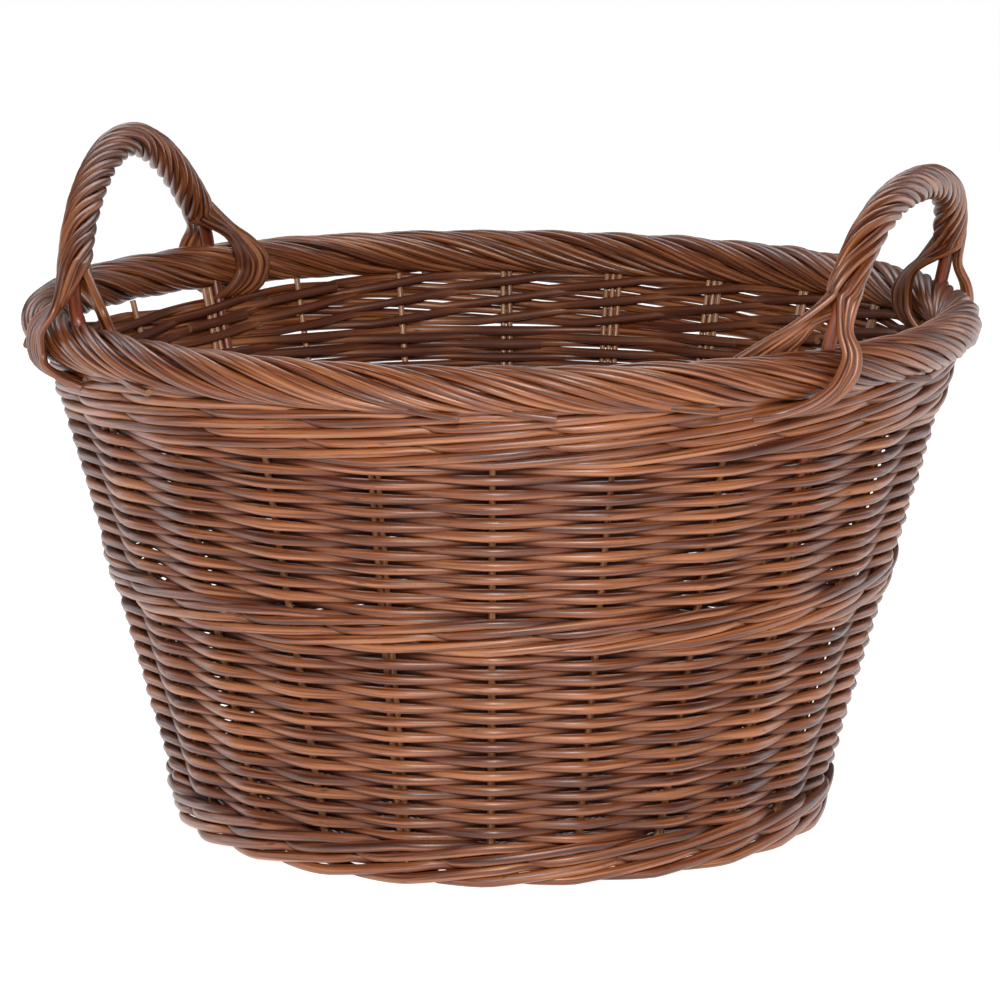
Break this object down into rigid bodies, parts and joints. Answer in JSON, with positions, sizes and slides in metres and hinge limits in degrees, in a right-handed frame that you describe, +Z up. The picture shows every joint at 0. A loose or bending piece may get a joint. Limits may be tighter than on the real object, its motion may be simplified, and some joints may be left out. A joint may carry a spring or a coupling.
{
  "type": "wicker basket",
  "caption": "Round woven willow basket with flaring stake-and-strand walls, a thick rope-plaited border and a roped bow handle standing up at each end; open at the top.",
  "frame": {"origin": "on the floor, under the middle of the basket", "axes": "+Z up out of the mouth; +X along the line through both handles; +Y across, along the shorter width of the rim"},
  "size_m": [0.632, 0.605, 0.4477],
  "materials": {
    "brown_willow": "steamed brown willow rods with a satin lacquer",
    "pale_willow": "lighter brown willow sticks, satin lacquer",
    "red_willow": "dark red-brown willow bow, satin lacquer"
  },
  "bodies": {
    "root": {"foot_wale": "brown_willow", "lower_siding_1": "brown_willow", "lower_siding_2": "brown_willow", "lower_siding_3": "brown_willow", "middle_wale": "brown_willow", "upper_siding_1": "brown_willow", "upper_siding_2": "brown_willow", "upper_siding_3": "brown_willow", "top_wale": "brown_willow", "base_weave_lower": "brown_willow", "base_weave_upper": "brown_willow", "border_rope": "brown_willow", "handle_wrap_left": "brown_willow", "handle_wrap_right": "brown_willow", "foot_lashing_left_front_outer": "brown_willow", "foot_lashing_left_front_inner": "brown_willow", "foot_lashing_left_back_outer": "brown_willow", "foot_lashing_left_back_inner": "brown_willow", "foot_lashing_right_front_outer": "brown_willow", "foot_lashing_right_front_inner": "brown_willow", "foot_lashing_right_back_outer": "brown_willow", "foot_lashing_right_back_inner": "brown_willow", "base_stick_long_1": "pale_willow", "base_stick_long_2": "pale_willow", "base_stick_long_3": "pale_willow", "base_stick_long_4": "pale_willow", "base_stick_long_5": "pale_willow", "base_stick_long_6": "pale_willow", "base_stick_cross_1": "pale_willow", "base_stick_cross_2": "pale_willow", "base_stick_cross_3": "pale_willow", "base_stick_cross_4": "pale_willow", "base_stick_cross_5": "pale_willow", "base_stick_cross_6": "pale_willow", "side_stake_01": "pale_willow", "side_stake_02": "pale_willow", "side_stake_03": "pale_willow", "side_stake_04": "pale_willow", "side_stake_05": "pale_willow", "side_stake_06": "pale_willow", "side_stake_07": "pale_willow", "side_stake_08": "pale_willow", "side_stake_09": "pale_willow", "side_stake_10": "pale_willow", "side_stake_11": "pale_willow", "side_stake_12": "pale_willow", "side_stake_13": "pale_willow", "side_stake_14": "pale_willow", "side_stake_15": "pale_willow", "side_stake_16": "pale_willow", "side_stake_17": "pale_willow", "side_stake_18": "pale_willow", "side_stake_19": "pale_willow", "side_stake_20": "pale_willow", "side_stake_21": "pale_willow", "side_stake_22": "pale_willow", "side_stake_23": "pale_willow", "side_stake_24": "pale_willow", "handle_bow_left": "red_willow", "handle_bow_right": "red_willow"}
  },
  "joints": []
}
